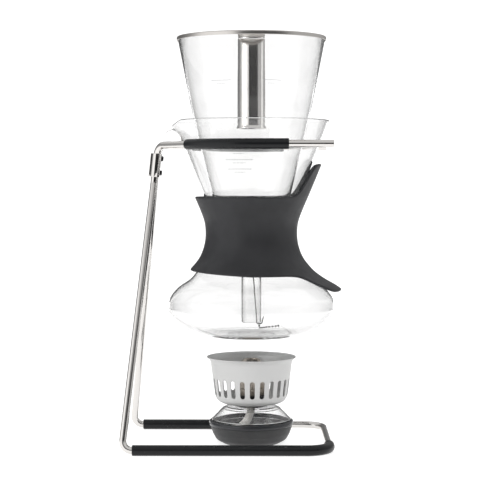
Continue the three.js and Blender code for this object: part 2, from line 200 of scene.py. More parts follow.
def between(low, high):
    """Faces between two rings of vertices, either of which may be a single vertex on the axis."""
    count = max(len(low), len(high))
    faces = []
    for k in range(count):
        n = (k + 1) % count
        corners = [low[k % len(low)], low[n % len(low)], high[n % len(high)], high[k % len(high)]]
        unique = list(dict.fromkeys(corners))
        if len(unique) > 2:
            faces.append(unique)
    return faces


class Path:
    """A line of points with its length and a frame that doesn't twist along it."""

    def __init__(self, points):
        self.points = points
        self.at = [0.0]
        for a, b in zip(points, points[1:]):
            self.at.append(self.at[-1] + (b - a).length)
        self.length = self.at[-1]
        runs = [(b - a).normalized() for a, b in zip(points, points[1:])]
        tangents = [runs[0]] + [(a + b).normalized() for a, b in zip(runs, runs[1:])] + [runs[-1]]
        side = tangents[0].orthogonal().normalized()
        self.frames = []
        for i, tangent in enumerate(tangents):
            if i:
                side = tangents[i - 1].rotation_difference(tangent) @ side
            side = (side - tangent * side.dot(tangent)).normalized()
            self.frames.append((side, tangent.cross(side)))

    def ring(self, distance):
        """Centre and two cross directions at a distance along the path."""
        i = 0
        while i < len(self.at) - 2 and self.at[i + 1] < distance:
            i += 1
        share = (distance - self.at[i]) / (self.at[i + 1] - self.at[i])
        centre = self.points[i].lerp(self.points[i + 1], share)
        (side0, up0), (side1, up1) = self.frames[i], self.frames[i + 1]
        share = min(max(share, 0.0), 1.0)
        return centre, side0.lerp(side1, share).normalized(), up0.lerp(up1, share).normalized()


def along(path, outline, sides=24, relief=None):
    """A body round a path. Its outline is (distance along the path, radius), end to end or closed."""
    fine = []
    loops = list(zip(outline, outline[1:]))
    if outline[0][1] > 0:
        loops.append((outline[-1], outline[0]))
    for (s0, r0), (s1, r1) in loops:
        fine.append((s0, r0))
        inside = [s for s in path.at if min(s0, s1) + 0.2 < s < max(s0, s1) - 0.2]
        for s in inside if s1 > s0 else inside[::-1]:
            fine.append((s, r0 + (r1 - r0) * (s - s0) / (s1 - s0)))
    if outline[0][1] <= 0:
        fine.append(outline[-1])
    verts, rings = [], []
    for s, radius in fine:
        centre, side, up = path.ring(s)
        if radius <= 1e-9:
            rings.append([len(verts)])
            verts.append(centre)
            continue
        rings.append(list(range(len(verts), len(verts) + sides)))
        for k in range(sides):
            angle = 2 * math.pi * k / sides
            swell = radius * (relief(s, angle) if relief else 1.0)
            verts.append(centre + (side * math.cos(angle) + up * math.sin(angle)) * swell)
    pairs = list(zip(rings, rings[1:]))
    if len(rings[0]) > 1:
        pairs.append((rings[-1], rings[0]))
    return verts, [face for low, high in pairs for face in between(low, high)]


def bar_outline(length, radius, edge):
    """Outline of a bar with rounded ends, for along()."""
    flat = rounded([(0, 0), (0, radius, edge), (length, radius, edge), (length, 0)])
    return [(p.x, p.y) for p in flat]


def sleeve_outline(length, bore, radius, edge):
    """Outline of a tube with rounded ends, for along()."""
    corners = [(0, bore), (0, radius, edge), (length, radius, edge), (length, bore)]
    return [(p.x, p.y) for p in rounded(corners)]


def bent(corners, steps=14):
    """Points along straight runs between corners, given as (point, bend radius)."""
    line = []
    for i, (at, radius) in enumerate(corners):
        if not radius:
            line.append(at)
            continue
        back = (corners[i - 1][0] - at).normalized()
        ahead = (corners[i + 1][0] - at).normalized()
        half = back.angle(ahead) / 2
        centre = at + (back + ahead).normalized() * radius / math.sin(half)
        start = at + back * radius / math.tan(half) - centre
        axis = (-back).cross(ahead).normalized()
        for step in range(steps + 1):
            turn = Matrix.Rotation((math.pi - 2 * half) * step / steps, 3, axis)
            line.append(centre + turn @ start)
    return line


def joined(*shapes):
    """Several (vertices, faces) shapes as one."""
    verts, faces = [], []
    for more_verts, more_faces in shapes:
        start = len(verts)
        verts += more_verts
        faces += [[start + i for i in face] for face in more_faces]
    return verts, faces


def placed(shape, matrix):
    verts, faces = shape
    return [matrix @ v for v in verts], faces


def mesh_of(name, shape):
    verts, faces = shape
    mesh = bpy.data.meshes.new(name)
    mesh.from_pydata([v * MM for v in verts], [], faces)
    tidy = bmesh.new()
    tidy.from_mesh(mesh)
    bmesh.ops.recalc_face_normals(tidy, faces=tidy.faces)
    tidy.to_mesh(mesh)
    tidy.free()
    return mesh


def add_piece(name, mesh, finish, body, nodes=(), sharp=40):
    """Adds a piece with its material and its body, unless it bends between two, and hides its CAD nodes.
    """
    mesh.shade_smooth()
    mesh.set_sharp_from_angle(angle=math.radians(sharp))
    mesh.materials.clear()
    mesh.materials.append(MATERIALS[finish])
    piece = bpy.data.objects.new(name, mesh)
    bpy.context.scene.collection.objects.link(piece)
    if body:
        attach(piece, body)
    if nodes:
        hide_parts(*nodes)
    return piece


def add_shape(name, shape, finish, body, nodes=(), sharp=40):
    return add_piece(name, mesh_of(name, shape), finish, body, nodes, sharp)


def add_turned(name, outline, segments, finish, body, nodes=(), sharp=40):
    return add_shape(name, turned(outline, segments), finish, body, nodes, sharp)


# --- Materials -----------------------------------------------------------------------------------

MATERIALS = {}


class Finish:
    """A node material with one Principled shader."""

    def __init__(self, name, colour, **sockets):
        self.material = bpy.data.materials.new(name)
        self.material.use_nodes = True
        self.nodes = self.material.node_tree.nodes
        self.links = self.material.node_tree.links
        self.shader = self.nodes["Principled BSDF"]
        self.shader.inputs["Base Color"].default_value = (*colour, 1.0)
        for socket, value in sockets.items():
            self.shader.inputs[socket.replace("_", " ")].default_value = value
        self.coordinates = self.add("ShaderNodeTexCoord").outputs["Object"]
        MATERIALS[name] = self.material

    def add(self, kind, **settings):
        node = self.nodes.new(kind)
        for key, value in settings.items():
            setattr(node, key, value)
        return node

    def noise(self, scale, detail=3.0, stretch=(1.0, 1.0, 1.0)):
        mapping = self.add("ShaderNodeMapping")
        mapping.inputs["Scale"].default_value = stretch
        texture = self.add("ShaderNodeTexNoise")
        texture.inputs["Scale"].default_value = scale
        texture.inputs["Detail"].default_value = detail
        self.links.new(self.coordinates, mapping.inputs["Vector"])
        self.links.new(mapping.outputs["Vector"], texture.inputs["Vector"])
        return texture.outputs["Fac"]

    def rings(self, scale):
        """Noise that is the same all the way round Z, as on a turned or spun surface."""
        apart = self.add("ShaderNodeSeparateXYZ")
        radius = self.add("ShaderNodeMath", operation="MULTIPLY_ADD")
        square = self.add("ShaderNodeMath", operation="MULTIPLY")
        root = self.add("ShaderNodeMath", operation="SQRT")
        together = self.add("ShaderNodeCombineXYZ")
        texture = self.add("ShaderNodeTexNoise")
        texture.inputs["Scale"].default_value = scale
        texture.inputs["Detail"].default_value = 4.0
        self.links.new(self.coordinates, apart.inputs[0])
        self.links.new(apart.outputs["X"], square.inputs[0])
        self.links.new(apart.outputs["X"], square.inputs[1])
        self.links.new(apart.outputs["Y"], radius.inputs[0])
        self.links.new(apart.outputs["Y"], radius.inputs[1])
        self.links.new(square.outputs[0], radius.inputs[2])
        self.links.new(radius.outputs[0], root.inputs[0])
        self.links.new(root.outputs[0], together.inputs["X"])
        self.links.new(apart.outputs["Z"], together.inputs["Z"])
        self.links.new(together.outputs[0], texture.inputs["Vector"])
        return texture.outputs["Fac"]

    def roughness(self, factor, low, high):
        span = self.add("ShaderNodeMapRange")
        span.inputs["From Min"].default_value = 0.3
        span.inputs["From Max"].default_value = 0.7
        span.inputs["To Min"].default_value = low
        span.inputs["To Max"].default_value = high
        self.links.new(factor, span.inputs["Value"])
        self.links.new(span.outputs["Result"], self.shader.inputs["Roughness"])

    def colours(self, factor, first, second, low=0.35, high=0.65):
        ramp = self.add("ShaderNodeValToRGB")
        ramp.color_ramp.elements[0].position = low
        ramp.color_ramp.elements[0].color = (*first, 1.0)
        ramp.color_ramp.elements[1].position = high
        ramp.color_ramp.elements[1].color = (*second, 1.0)
        self.links.new(factor, ramp.inputs["Fac"])
        self.links.new(ramp.outputs["Color"], self.shader.inputs["Base Color"])

    def bump(self, factor, height, strength=0.5):
        """Relief from a pattern, with its height in millimetres."""
        node = self.add("ShaderNodeBump")
        node.inputs["Strength"].default_value = strength
        node.inputs["Distance"].default_value = height * MM
        self.links.new(factor, node.inputs["Height"])
        self.links.new(node.outputs["Normal"], self.shader.inputs["Normal"])


def make_metals():
    steel = Finish("polished_steel", (0.70, 0.68, 0.66), Metallic=1.0)
    steel.roughness(steel.noise(260.0, 5.0), 0.07, 0.13)
    steel.bump(steel.noise(1400.0, 2.0, (1.0, 1.0, 0.08)), 0.004, 0.25)

    turned_steel = Finish("turned_steel", (0.66, 0.645, 0.63), Metallic=1.0)
    turned_steel.roughness(turned_steel.rings(2600.0), 0.05, 0.09)
    turned_steel.bump(turned_steel.rings(5200.0), 0.003, 0.25)

    lid_steel = Finish("lid_steel", (0.60, 0.575, 0.55), Metallic=1.0)
    lid_steel.roughness(lid_steel.rings(2600.0), 0.26, 0.34)

    satin = Finish("satin_steel", (0.66, 0.65, 0.63), Metallic=1.0)
    satin.roughness(satin.noise(900.0, 4.0), 0.22, 0.36)
    satin.bump(satin.noise(2500.0, 2.0), 0.006, 0.3)

    chain = Finish("chain_steel", (0.16, 0.155, 0.15), Metallic=1.0)
    chain.roughness(chain.noise(900.0, 4.0), 0.2, 0.34)

    burner = Finish("burner_steel", (0.48, 0.43, 0.38), Metallic=1.0)
    burner.colours(burner.noise(70.0, 4.0), (0.30, 0.25, 0.20), (0.56, 0.52, 0.47))
    burner.roughness(burner.noise(400.0, 4.0), 0.24, 0.42)

    aluminium = Finish("satin_aluminium", (0.52, 0.52, 0.515), Metallic=0.35)
    aluminium.roughness(aluminium.noise(500.0, 5.0), 0.40, 0.48)
    aluminium.bump(aluminium.rings(3600.0), 0.006, 0.22)

    screw = Finish("black_screw", (0.02, 0.02, 0.022), Metallic=0.6)
    screw.roughness(screw.noise(1500.0), 0.3, 0.5)


def make_dark_materials():
    rubber = Finish("black_rubber", (0.004, 0.0045, 0.0055), Specular_IOR_Level=0.3)
    rubber.roughness(rubber.noise(180.0, 5.0), 0.26, 0.36)
    rubber.bump(rubber.noise(2200.0, 2.0), 0.02, 0.25)

    silicone = Finish("grip_silicone", (0.018, 0.0183, 0.020), Specular_IOR_Level=0.36)
    silicone.colours(silicone.noise(40.0, 6.0), (0.015, 0.0153, 0.0172), (0.020, 0.0203, 0.0226))
    silicone.roughness(silicone.noise(90.0, 5.0), 0.46, 0.56)
    silicone.bump(silicone.noise(1900.0, 3.0), 0.03, 0.3)

    base = Finish("dark_base", (0.030, 0.030, 0.031), Specular_IOR_Level=0.36)
    base.colours(base.noise(60.0, 5.0), (0.027, 0.027, 0.028), (0.033, 0.033, 0.034))
    base.roughness(base.noise(300.0, 4.0), 0.42, 0.55)
    base.bump(base.noise(2400.0, 2.0), 0.02, 0.25)

    lip = Finish("lip_gloss", (0.018, 0.019, 0.022), Specular_IOR_Level=0.5)
    lip.roughness(lip.noise(240.0, 4.0), 0.14, 0.26)

    collar = Finish("dark_collar", (0.02, 0.02, 0.021))
    collar.roughness(collar.noise(400.0, 4.0), 0.28, 0.42)

    gasket = Finish("gasket_rubber", (0.02, 0.02, 0.02))
    gasket.roughness(gasket.noise(300.0, 4.0), 0.45, 0.6)
    gasket.bump(gasket.noise(1800.0, 2.0), 0.03, 0.3)


def make_cotton():
    wick = Finish("wick_cotton", (0.72, 0.70, 0.66), Sheen_Weight=0.25, Sheen_Roughness=0.6)
    wick.colours(wick.noise(900.0, 4.0), (0.60, 0.57, 0.52), (0.86, 0.85, 0.82))
    wick.roughness(wick.noise(600.0, 3.0), 0.85, 0.98)
    wick.bump(wick.noise(2600.0, 4.0), 0.12, 0.7)

    cloth = Finish("filter_cotton", (0.80, 0.74, 0.62), Sheen_Weight=0.3, Sheen_Roughness=0.5)
    weave = cloth.add("ShaderNodeTexWave", bands_direction="X")
    across = cloth.add("ShaderNodeTexWave", bands_direction="Y")
    for texture in (weave, across):
        texture.inputs["Scale"].default_value = 420.0
        texture.inputs["Distortion"].default_value = 1.2
        cloth.links.new(cloth.coordinates, texture.inputs["Vector"])
    crossing = cloth.add("ShaderNodeMath", operation="MULTIPLY")
    cloth.links.new(weave.outputs["Fac"], crossing.inputs[0])
    cloth.links.new(across.outputs["Fac"], crossing.inputs[1])
    cloth.colours(crossing.outputs[0], (0.66, 0.58, 0.45), (0.86, 0.81, 0.70), 0.1, 0.7)
    cloth.roughness(cloth.noise(300.0), 0.85, 0.98)
    cloth.bump(crossing.outputs[0], 0.15, 0.6)


STRAIGHT_THROUGH = 0.03  # share of the light that a thin wall doesn't bend at all


def make_glass():
    """Clear glass with a slightly wavy surface, which casts almost no shadow, and the ink on it."""
    glass = Finish("clear_glass", (1.0, 0.999, 0.998), IOR=1.36)
    glass.shader.inputs["Transmission Weight"].default_value = 1.0
    glass.shader.inputs["Roughness"].default_value = 0.0
    glass.bump(glass.noise(26.0, 1.5), 0.05, 0.06)
    clear = glass.add("ShaderNodeBsdfTransparent")
    clear.inputs["Color"].default_value = (0.96, 0.97, 0.97, 1.0)
    rays = glass.add("ShaderNodeLightPath")
    mix = glass.add("ShaderNodeMixShader")
    output = glass.nodes["Material Output"]
    straight = glass.add("ShaderNodeMath", operation="MAXIMUM")
    straight.inputs[1].default_value = STRAIGHT_THROUGH
    glass.links.new(rays.outputs["Is Shadow Ray"], straight.inputs[0])
    glass.links.new(straight.outputs[0], mix.inputs["Fac"])
    glass.links.new(glass.shader.outputs[0], mix.inputs[1])
    glass.links.new(clear.outputs[0], mix.inputs[2])
    glass.links.new(mix.outputs[0], output.inputs["Surface"])

    ink = Finish("print_grey", (0.42, 0.42, 0.43))
    ink.roughness(ink.noise(800.0), 0.5, 0.7)


make_metals()
make_dark_materials()
make_cotton()
make_glass()


# --- Wick, the one free cord ---------------------------------------------------------------------

WICK_ROUTE = [
    (0, 0, 91.8), (0, 0, 60), (0, 0, 42), (-1.6, -0.4, 32), (-4.4, -1.2, 25.6), (-9.2, -2.8, 20),
    (-15.6, -4.8, 15.2), (-22.8, -7, 12.2),
]


def make_wick():
    """Braided cotton: strands wind both ways round it."""
    path = Path(spline([vec(*p) for p in WICK_ROUTE], 14))
    strands, turn, relief = 8, 0.42, 0.045

    def braid(s, angle):
        one = math.sin(strands / 2 * angle + s * turn * 2)
        other = math.sin(strands / 2 * angle - s * turn * 2)
        return 1 - relief + relief * max(one, other)

    rows, edge = 190, 0.9
    ends = bar_outline(path.length, WICK_RADIUS, edge)
    side = [(s, WICK_RADIUS) for s in steps_of(edge, path.length - edge, rows)[1:-1]]
    half = len(ends) // 2
    shape = along(path, ends[:half] + side + ends[half:], sides=40, relief=braid)
    wick = add_shape("wick_braid", shape, "wick_cotton", "lamp", ["wick"], sharp=180)


make_wick()


# --- Stand ---------------------------------------------------------------------------------------

def upright_x(z):
    return COLLAR_X + LEAN * (z - (COLLAR_LOW_Z + COLLAR_HIGH_Z) / 2)


def stand_corners(side):
    """Corners of a rod with their bend radii, on the front (side -1) or the back (side 1)."""
    below = COLLAR_LOW_Z - 5
    top_x = upright_x(ARM_Z)
    arm_tangent = math.acos(ARM_Y / math.hypot(top_x, COLLAR_ROD_Y))
    arc_turn = math.pi / 2 - math.atan2(COLLAR_ROD_Y, -top_x) - arm_tangent
    return {
        "arm_end": (vec(ARM_END_X, side * ARM_Y, ARM_Z), 0),
        "arm_bend": (vec(-ARM_Y * math.tan(arc_turn / 2), side * ARM_Y, ARM_Z), ARM_Y),
        "collar_top": (vec(top_x, side * COLLAR_ROD_Y, ARM_Z), COLLAR_BEND),
        "collar_foot": (vec(upright_x(below), side * COLLAR_ROD_Y, below), FOOT_BEND),
        "heel": (vec(upright_x(RAIL_Z), side * RAIL_Y, RAIL_Z), HEEL_BEND),
        "base_bend": (vec(CROSS_BAR_X, side * RAIL_Y, RAIL_Z), BASE_CORNER_RADIUS),
    }


def rail_point(x, side):
    return (vec(x, side * RAIL_Y, RAIL_Z), 0)


def make_stand():
    front, back = stand_corners(-1), stand_corners(1)
    order = ("arm_end", "arm_bend", "collar_top", "collar_foot", "heel")
    rods = {
        "stand_rod_front": [front[k] for k in order] + [rail_point(ROD_JOINT_X - GAP, -1)],
        "stand_rod_back": [back[k] for k in order]
        + [back["base_bend"], front["base_bend"], rail_point(ROD_JOINT_X, -1)],
    }
    rod_edge, sleeve_edge, sleeve_fit = 1.1, 0.8, 0.05
    for name, corners in rods.items():
        path = Path(bent(corners))
        shape = along(path, bar_outline(path.length, ROD_RADIUS, rod_edge), sides=32)
        add_shape(name + "_fine", shape, "polished_steel", "stand", [name])

    sleeves = {
        "base_sleeve_front": [
            rail_point(BASE_SLEEVE_START_X, -1), front["base_bend"],
            (vec(CROSS_BAR_X, CROSS_BAR_END_Y, RAIL_Z), 0),
        ],
        "base_sleeve_back": [rail_point(BASE_SLEEVE_START_X, 1), rail_point(BACK_SLEEVE_END_X, 1)],
    }
    for side, name in ((-1, "fork_sleeve_front"), (1, "fork_sleeve_back")):
        corners = stand_corners(side)
        start = corners["collar_top"][0].lerp(corners["arm_bend"][0], SHARE_FROM_COLLAR)
        end = vec(FORK_SLEEVE_END_X, side * ARM_Y, ARM_Z)
        sleeves[name] = [(start, 0), corners["arm_bend"], (end, 0)]
    for name, corners in sleeves.items():
        path = Path(bent(corners, 20))
        outline = sleeve_outline(path.length, ROD_RADIUS + sleeve_fit, SLEEVE_RADIUS, sleeve_edge)
        add_shape(name + "_fine", along(path, outline, sides=40), "black_rubber", "stand", [name])
    make_collar()


def make_collar():
    """Folded sheet round both uprights, its two edges brought together behind, and two screws."""
    middle_z = (COLLAR_LOW_Z + COLLAR_HIGH_Z) / 2
    height = COLLAR_HIGH_Z - COLLAR_LOW_Z
    tilt = Matrix.Translation(vec(COLLAR_X, 0, middle_z)) @ Matrix.Rotation(math.atan(LEAN), 4, "Y")
    sheet, bore = 1.2, ROD_RADIUS + 0.15
    radius = bore + sheet
    ear_reach, ear_half, chamfer = 2.0, sheet, 0.6

    def arc(r, side):
        start = 0 if side > 0 else math.pi
        return [
            Vector((r * math.cos(a), side * COLLAR_ROD_Y + r * math.sin(a)))
            for a in (start + math.pi * i / 14 for i in range(15))
        ]

    back_x = -radius - ear_reach
    half_ear = [(-radius, ear_half), (back_x + chamfer, ear_half), (back_x, ear_half - chamfer)]
    ear = [Vector(p) for p in half_ear] + [Vector((x, -y)) for x, y in half_ear[::-1]]
    outer = arc(radius, 1) + ear + arc(radius, -1)
    curve = bpy.data.curves.new("collar_outline", "CURVE")
    curve.dimensions = "2D"
    curve.fill_mode = "BOTH"
    for loop in (outer, arc(bore, 1) + arc(bore, -1)):
        line = curve.splines.new("POLY")
        line.points.add(len(loop) - 1)
        for knot, p in zip(line.points, loop):
            knot.co = (p.x * MM, p.y * MM, 0, 1)
        line.use_cyclic_u = True
    bevel = 0.25
    curve.extrude = (height / 2 - bevel) * MM
    curve.bevel_depth = bevel * MM
    curve.bevel_resolution = 2
    curve.offset = -bevel * MM
    maker = bpy.data.objects.new("collar_outline", curve)
    mesh = bpy.data.meshes.new_from_object(maker)
    mesh.transform(Matrix.Translation(tilt.to_translation() * MM) @ tilt.to_3x3().to_4x4())
    bpy.data.objects.remove(maker)
    add_piece("collar_clamp_fine", mesh, "polished_steel", "stand", ["collar_clamp"])

    head = [(0, 0.2), (1.4, 0.2), (1.4, sheet - 0.2), (2.9, sheet - 0.2), (2.9, sheet + 1.2, 0.6),
            (2.2, sheet + 1.7, 0.4), (1.35, sheet + 1.7, 0.1), (1.2, sheet + 0.7), (0, sheet + 0.6)]
    quarter = Matrix.Rotation(math.pi / 2, 4, "Y")
    from_end = 5
    for name, z in (("collar_screw_upper", height - from_end), ("collar_screw_lower", from_end)):
        local = Matrix.Translation(vec(bore + GAP, 0, z - height / 2)) @ quarter
        shape = placed(turned(rounded(head), 48), tilt @ local)
        add_shape(name + "_fine", shape, "black_screw", "stand", [name])


# --- Decanter ------------------------------------------------------------------------------------

BULB = [
    (44, 121.2), (56, 121.8), (69, 126), (82, 134.3), (91.3, 144.8), (93.7, 153.5), (91.3, 164),
    (82, 175.2), (68.6, 184.6), (60.3, 195), (53, 208), (48.5, 222), (47.3, 236), (48.5, 250),
    (53.2, 277), (63.9, 303), (74.4, 329), (79.4, 341), (RIM_RADIUS, RIM_Z),
]
BAND_CURVE = [
    (101.4, 173.6), (94, 178.6), (84, 184.2), (74, 191), (66.9, 197.6), (58.2, 208.8), (53.1, 221.8),
    (51.4, 235), (52.6, 248.5), (57.3, 262), (63.4, 276.3), (69, 289.5), (78.6, 313),
]


def with_spout(point):
    """A wall point moved outwards and down where the rim turns into the pouring lip."""
    rise = (point.z - SPOUT_START_Z) / (RIM_Z - SPOUT_START_Z)
    from_lip = abs(math.atan2(point.y, -point.x))
    if rise <= 0 or from_lip > SPOUT_HALF_ANGLE:
        return point
    share = math.cos(from_lip / SPOUT_HALF_ANGLE * math.pi / 2) ** 2
    reach = SPOUT_REACH * share * rise**SPOUT_REACH_POWER
    drop = SPOUT_DROP * share * rise**SPOUT_DROP_POWER
    flat = Vector((point.x, point.y, 0)).normalized() * reach
    return vec(point.x + flat.x, point.y + flat.y, point.z - drop)


def bulb_line():
    """The decanter's outer line from the floor's middle to just below the rounded rim."""
    floor = spline([(0, 122.6), (20, 122.3), (38, 121.5), (44, 121.2)], 5)
    wall = spline(BULB, 7)
    end = Vector((RIM_RADIUS - 0.3, RIM_Z - 1.0))
    return [p for p in floor[:-1] + wall if p.y < end.y] + [end]


def make_decanter():
    verts, faces = turned(glass_wall(bulb_line(), DECANTER_WALL), 160)
    add_shape("lower_bowl_glass", ([with_spout(v) for v in verts], faces), "clear_glass",
              "decanter", ["lower_bowl"], sharp=180)
    make_band()
    make_marks("decanter_marks", "decanter", [(-101, 327, 26), (-101, 317, 30), (-101, 307, 26)])


def band_ends(angle):
    """The shares of the band's curve at which it ends, below and above, at an angle from +X."""
    lower_flap_half, upper_flap_half, sharpness = 34, 29.5, 9
    bump_half, bump_rise = 5.5, 0.007  # of the small bump on the cuff's upper edge in front
    degrees = abs(math.degrees(angle))

    def tongue(half_width):
        return 1 / (1 + (degrees / half_width) ** sharpness)

    cuff_low, cuff_high = 0.205 + 0.03 * max(0.0, -math.cos(angle)), 0.763
    low = cuff_low * (1 - tongue(lower_flap_half))
    high = cuff_high + (1 - cuff_high) * tongue(upper_flap_half)
    from_front = abs(math.degrees(angle) + 90) / bump_half
    if from_front < 1:
        high += bump_rise * math.sqrt(1 - from_front**2)
    return low, high


def make_band():
    """One flared sheet of silicone with half-round edges, trimmed round the cuff and the two flaps."""
    master = [Vector((p.x, p.y, 0)) for p in spline(BAND_CURVE, 12)]
    curve = Path(master)

    def at(share, depth):
        """The point at a share of the curve and a depth outside it, and the curve's direction."""
        distance = share * curve.length
        i = next(k for k in range(1, len(curve.at)) if curve.at[k] >= distance or k == len(curve.at) - 1)
        span = (distance - curve.at[i - 1]) / (curve.at[i] - curve.at[i - 1])
        run = (master[min(i + 1, len(master) - 1)] - master[max(i - 2, 0)]).normalized()
        here = master[i - 1].lerp(master[i], span)
        return Vector((here.x - run.y * depth, here.y + run.x * depth)), Vector((run.x, run.y))

    rows, columns, edge_steps = 54, 192, 6
    half = BAND / 2
    trim = half / curve.length
    verts, rings = [], []
    for column in range(columns):
        angle = 2 * math.pi * column / columns
        wrapped = math.atan2(math.sin(angle), math.cos(angle))
        low, high = band_ends(wrapped)
        loop = [at(low + trim + (high - low - 2 * trim) * row / rows, 0)[0] for row in range(rows + 1)]
        centre, run = at(high - trim, half)
        normal = Vector((run.y, -run.x))
        loop += [centre + (normal * math.cos(a) + run * math.sin(a)) * half
                 for a in (math.pi * k / edge_steps for k in range(1, edge_steps))]
        loop += [at(low + trim + (high - low - 2 * trim) * row / rows, BAND)[0]
                 for row in range(rows, -1, -1)]
        centre, run = at(low + trim, half)
        normal = Vector((run.y, -run.x))
        loop += [centre - (normal * math.cos(a) + run * math.sin(a)) * half
                 for a in (math.pi * k / edge_steps for k in range(1, edge_steps))]
        rings.append(list(range(len(verts), len(verts) + len(loop))))
        verts += [vec(p.x * math.cos(angle), p.x * math.sin(angle), p.y) for p in loop]
    faces = [face for a, b in zip(rings, rings[1:] + rings[:1]) for face in between(a, b)]
    add_shape("grip_band_fine", (verts, faces), "grip_silicone", "decanter", ["grip_band"], sharp=60)


# --- Funnel and filter -----------------------------------------------------------------------------

FUNNEL = [
    (STEM_RADIUS, STEM_END_Z + 0.9), (STEM_RADIUS, 243, 6), (17, 248.6, 6), (38.6, 259.4, 9),
    (43.8, 278, 30), (56.4, 329, 200), (67, 374.5, 400), (BOWL_TOP_RADIUS - 0.25, BOWL_TOP_Z - 1.2),
]


def make_funnel():
    outline = glass_wall(rounded(FUNNEL, steps=10), FUNNEL_WALL, open_below=True)
    add_turned("upper_bowl_glass", outline, 160, "clear_glass", "funnel", ["upper_bowl"], sharp=180)

    gasket = [
        (17.6, 243.4, 0.8), (42.6, 243.4, 1.5), (45, 246, 1.2), (44.2, 250, 0.8), (45, 254, 0.8),
        (44.2, 258, 0.8), (45, 262.5, 1), (41.3, 262.5, 0.6), (38.9, 258.4, 2), (34.2, 255.3, 3),
        (17.6, 247.9, 0.6),
    ]
    add_turned("bowl_gasket_fine", rounded(gasket, closed=True), 96, "gasket_rubber", "funnel",
               ["bowl_gasket"])
    make_filter()
    make_marks("funnel_marks", "funnel", [(-117, 402.5, 24), (-72, 402.5, 21)])


def make_filter():
    hole = 2.2
    plate = [(hole, 256.9), (22, 256.9, 1), (27, 257.3, 0.5), (27, 258.3, 0.3), (hole, 258.3)]
    ring = [(hole, 259.8), (25.5, 259.8, 0.3), (25.5, 261, 0.5), (21, 261, 0.5), (20, 260.6, 0.4),
            (9, 260.6, 0.4), (8, 261, 0.4), (hole, 261)]
    stud = [(0, 247.4), (1.9, 247.4, 0.4), (1.9, 261.4), (4.9, 261.4, 0.3), (4.9, 263.3, 0.7), (0, 264)]
    for name, corners in (("filter_plate", plate), ("filter_ring", ring), ("filter_stud", stud)):
        add_turned(name + "_fine", rounded(corners), 72, "satin_steel", "funnel", [name])

    cloth_radius = 27.9
    cloth = [(hole, 258.75), (cloth_radius, 258.75, 0.25), (cloth_radius, 259.35, 0.25), (hole, 259.35)]
    piece = add_turned("filter_cloth_fine", rounded(cloth, steps=3), 96, "filter_cotton", "funnel",
                       ["filter_cloth"], sharp=80)

    make_spring()
    make_filter_pull()


def make_spring():
    top, length, radius = 247.0, 32.0, 2.9
    turns, steps_per_turn = 11, 16
    steps = turns * steps_per_turn
    coil = [
        vec(radius * math.cos(2 * math.pi * i / steps_per_turn),
            radius * math.sin(2 * math.pi * i / steps_per_turn), top - 0.6 - (length - 1) * i / steps)
        for i in range(steps + 1)
    ]
    path = Path(coil)
    shape = along(path, bar_outline(path.length, 0.4, 0.2), sides=10)
    spring = add_shape("filter_spring_fine", shape, "satin_steel", None, ["filter_spring"])
    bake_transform(spring)


def make_filter_pull():
    """The wire with its hook under the stem's lip, and the bead chain that hangs from it."""
    wire_radius = 0.7
    hook_low = STEM_END_Z - wire_radius - 0.6
    corners = [
        (vec(0, 0, 214), 0), (vec(5.2, 0, 150), 60), (vec(6, 0, hook_low), 2.2),
        (vec(11.8, 0, hook_low), 2.2), (vec(14, 0, 141.5), 0),
    ]
    path = Path(bent(corners, 10))
    shape = along(path, bar_outline(path.length, wire_radius, 0.5), sides=14)
    add_shape("filter_hook_fine", shape, "chain_steel", "filter_pull", ["filter_hook"])

    beads, bead_radius, floor_z = 9, 1.2, 127.4
    eye_x, eye_radius = 8.9, 0.9
    route = [
        vec(eye_x, 0, hook_low - wire_radius - bead_radius - GAP), vec(9.3, 1.6, 128.4),
        vec(10.6, 4.8, 127.8), vec(13, 10, floor_z), vec(19, 19, floor_z), vec(26, 24, floor_z),
        vec(31, 30, floor_z),
    ]
    path = Path(spline(route, 12))
    ball = [(bead_radius * math.sin(a), -bead_radius * math.cos(a)) for a in steps_of(0, math.pi, 10)]
    ball[0], ball[-1] = (0, -bead_radius), (0, bead_radius)
    shapes = [along(path, bar_outline(path.length, 0.25, 0.1), sides=8)]
    for i in range(beads):
        centre = path.ring(path.length * i / (beads - 1))[0]
        shapes.append(placed(turned(ball, 18), Matrix.Translation(centre)))
    eye = Path([
        vec(eye_x + eye_radius * math.cos(a), 0, hook_low - 0.95 + eye_radius * math.sin(a))
        for a in steps_of(0, 2 * math.pi, 20)[:-1]
    ])
    shapes.append(along(eye, bar_outline(eye.length, 0.22, 0.1), sides=6))
    chain = add_shape("bead_chain_fine", joined(*shapes), "chain_steel", None, ["bead_chain"])
    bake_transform(chain)


# --- Printed marks -------------------------------------------------------------------------------

def cone_radius(body, z):
    """Outer radius of the decanter's or the funnel's widening wall at a height above the neck."""
    line = bulb_line() if body == "decanter" else rounded(FUNNEL, steps=10)
    a, b = next((a, b) for a, b in zip(line, line[1:]) if a.y <= z <= b.y and b.y > NECK_TOP_Z)
    return a.x + (b.x - a.x) * (z - a.y) / (b.y - a.y)


def make_marks(name, body, groups):
    """Short printed graduation dashes on the outside of a glass wall, with no words or numbers."""
    row_drop, second_row_share = 3.4, 0.45
    dashes, dash_share, dash_height = 10, 0.82, 0.7
    shapes = []
    for bearing, top_z, width in groups:
        for row, share in enumerate((1.0, second_row_share)):
            z = top_z - row * row_drop
            radius = cone_radius(body, z) + 0.05
            half_angle = width * share / radius / 2
            for k in range(dashes):
                if row and k % 3 == 2:
                    continue
                start = math.radians(bearing) - half_angle + 2 * half_angle * k / dashes
                end = start + 2 * half_angle / dashes * dash_share
                shapes.append(dash(radius, start, end, z, dash_height))
    add_shape(name, joined(*shapes), "print_grey", body)


